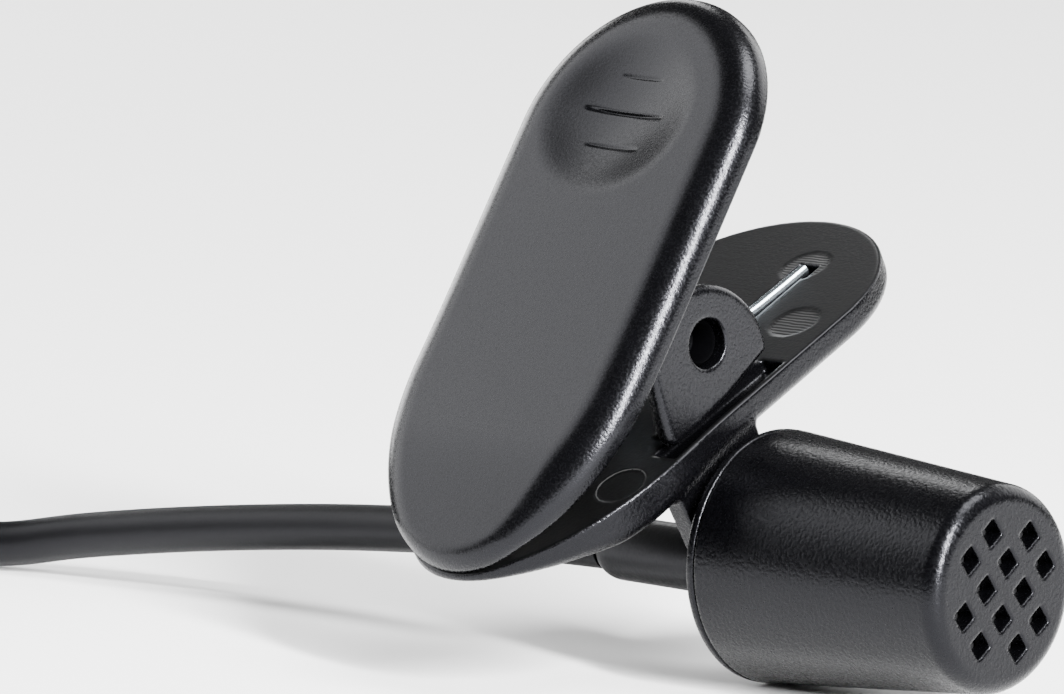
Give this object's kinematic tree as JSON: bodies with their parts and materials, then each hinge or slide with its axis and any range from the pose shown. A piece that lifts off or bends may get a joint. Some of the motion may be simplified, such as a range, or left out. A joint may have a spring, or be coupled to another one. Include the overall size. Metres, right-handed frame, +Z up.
{
  "type": "lavalier microphone",
  "caption": "Clip-on tie microphone: a tapered barrel with a holed grille, a sprung tie clip that turns on its neck, and a coiled cable ending in a jack plug.",
  "frame": {"origin": "centre of the microphone and clip's outline on the surface they lie on, cord left out", "axes": "+X out of the grille along the barrel, +Z up"},
  "size_m": [0.145, 0.0513, 0.0374],
  "materials": {
    "barrel_plastic": "satin, fine moulded grain",
    "clip_plastic": "fine spark-eroded grain, satin edges",
    "cable_rubber": "matte extruded jacket",
    "spring_steel": "drawn wire",
    "pin_steel": "blackened",
    "nickel": "nickel plated",
    "felt": "pressed felt",
    "board": "solder resist",
    "lead_insulation": "smooth",
    "insulator": "moulded"
  },
  "bodies": {
    "microphone": {"barrel": "barrel_plastic", "rear_cap": "barrel_plastic", "strain_relief": "cable_rubber", "acoustic_felt": "felt", "element_seal": "cable_rubber", "electret_element": "nickel", "element_board": "board", "signal_wire": "lead_insulation", "ground_wire": "lead_insulation", "wire_ferrule": "nickel", "cable_run": "cable_rubber", "cable_coil": "cable_rubber", "coil_tie": "insulator", "cable_tail": "cable_rubber", "plug_boot": "cable_rubber", "plug_shell": "barrel_plastic", "plug_sleeve": "nickel", "plug_insulator_1": "insulator", "plug_ring": "nickel", "plug_insulator_2": "insulator", "plug_tip": "nickel"},
    "clip_rear": {"clip_back": "clip_plastic", "pivot_pin": "pin_steel", "torsion_spring": "spring_steel"},
    "clip_front": {"clip_front": "clip_plastic", "spring_front_leg": "spring_steel"}
  },
  "joints": [
    {"name": "clip_swivel", "type": "hinge", "parent": "microphone", "child": "clip_rear", "pos_m": [-0.0012, 0.00051, 0.0062], "axis": [1, 0, 0], "continuous": true},
    {"name": "jaw", "type": "hinge", "parent": "clip_rear", "child": "clip_front", "pos_m": [-0.00902, -0.00299, 0.01908], "axis": [-1, 0, 0], "range_deg": [0, 24], "stiffness_Nm_per_rad": 0.04, "springref_deg": -34.38}
  ]
}
